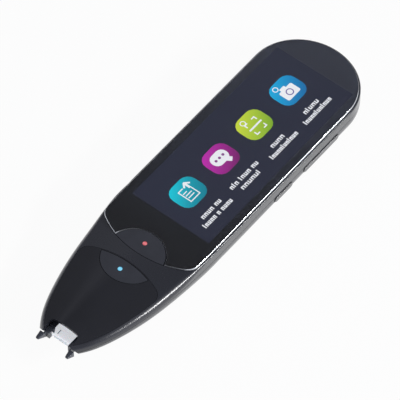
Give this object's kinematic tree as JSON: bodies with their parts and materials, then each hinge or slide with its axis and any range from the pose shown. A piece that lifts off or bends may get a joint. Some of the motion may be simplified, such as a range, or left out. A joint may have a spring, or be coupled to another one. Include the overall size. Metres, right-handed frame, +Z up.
{
  "type": "scanning pen",
  "caption": "Wide flat handheld scanning pen with a touch screen, two front keys, side keys and a spring-loaded scanning tip.",
  "frame": {"origin": "on the flat back that the pen rests on, midway between the prong tips and the tail, on the centre line", "axes": "+X from the scanning tip to the round tail, +Y to the side without keys, +Z up through the screen"},
  "size_m": [0.1595, 0.0427, 0.012],
  "materials": {
    "shell_plastic": "fine satin moulding",
    "band_plastic": "satin paint",
    "gloss_cover": "high gloss",
    "cover_glass": "polished, dark printed border",
    "foam_adhesive": "foam",
    "screen_glass": "lit screen",
    "white_plastic": "smooth",
    "steel_sheet": "rolled",
    "key_plastic": "satin",
    "side_key_plastic": "satin gloss",
    "blue_pipe": "clear, lit",
    "red_pipe": "clear, lit",
    "switch_plastic": "moulded",
    "switch_can": "stamped",
    "led_plastic": "clear",
    "circuit_board": "solder mask",
    "smoke_plastic": "smoky, slightly clear",
    "clear_pane": "polished",
    "black_plastic": "moulded",
    "chip_plastic": "moulded",
    "connector_plastic": "moulded",
    "ribbon_film": "film",
    "battery_foil": "embossed foil",
    "spring_steel": "bright drawn",
    "screw_steel": "black oxide"
  },
  "bodies": {
    "pen_body": {"lower_housing": "shell_plastic", "upper_housing": "band_plastic", "nose_cover": "gloss_cover", "display_glass": "cover_glass", "display_gasket": "foam_adhesive", "lcd_panel": "screen_glass", "backlight_unit": "white_plastic", "display_plate": "steel_sheet", "key_board": "circuit_board", "key_switches": "switch_can", "status_leds": "led_plastic", "side_switches": "switch_can", "side_key_board": "circuit_board", "tip_switch": "switch_can", "tip_spring": "spring_steel", "lens_holder": "black_plastic", "lens_barrel": "black_plastic", "lens_glass": "clear_pane", "image_sensor": "chip_plastic", "camera_board": "circuit_board", "tip_led_board": "circuit_board", "tip_leds": "led_plastic", "main_board": "circuit_board", "processor_shield": "steel_sheet", "radio_shield": "steel_sheet", "processor_chip": "chip_plastic", "radio_chip": "chip_plastic", "board_connectors": "connector_plastic", "wifi_antenna": "ribbon_film", "battery": "battery_foil", "battery_tape": "foam_adhesive", "battery_tab": "ribbon_film", "speaker": "black_plastic", "speaker_mesh": "steel_sheet", "usb_board": "circuit_board", "usb_shell": "spring_steel", "usb_tongue": "black_plastic", "microphone": "switch_can", "display_flex": "ribbon_film", "camera_flex": "ribbon_film", "key_flex": "ribbon_film", "usb_flex": "ribbon_film", "housing_screws": "screw_steel"},
    "ok_key": {"ok_button": "key_plastic", "ok_light_pipe": "blue_pipe", "ok_switch_plunger": "switch_plastic"},
    "back_key": {"back_button": "key_plastic", "back_light_pipe": "red_pipe", "back_switch_plunger": "switch_plastic"},
    "power_key": {"power_button": "side_key_plastic", "power_switch_plunger": "switch_plastic"},
    "volume_key": {"volume_rocker": "side_key_plastic", "volume_switch_plungers": "switch_plastic"},
    "scan_tip": {"tip_bracket": "smoke_plastic", "light_guide": "white_plastic", "scan_window": "clear_pane", "tip_switch_plunger": "switch_plastic"}
  },
  "joints": [
    {"name": "ok_press", "type": "slide", "parent": "pen_body", "child": "ok_key", "axis": [0, 0, -1], "range_m": [0, 0.0004], "stiffness_N_per_m": 2000, "springref_m": -0.0002},
    {"name": "back_press", "type": "slide", "parent": "pen_body", "child": "back_key", "axis": [0, 0, -1], "range_m": [0, 0.0004], "stiffness_N_per_m": 2000, "springref_m": -0.0002},
    {"name": "power_press", "type": "slide", "parent": "pen_body", "child": "power_key", "axis": [0, 1, 0], "range_m": [0, 0.00035], "stiffness_N_per_m": 2000, "springref_m": -0.0002},
    {"name": "volume_rock", "type": "hinge", "parent": "pen_body", "child": "volume_key", "pos_m": [0.0434, -0.0192, 0.0054], "axis": [0, 0, 1], "range_deg": [-1.2, 1.2], "stiffness_Nm_per_rad": 0.5},
    {"name": "tip_press", "type": "slide", "parent": "pen_body", "child": "scan_tip", "axis": [1, 0, 0], "range_m": [0, 0.0004], "stiffness_N_per_m": 500, "springref_m": -0.0008, "deforming": ["tip_spring"]}
  ]
}
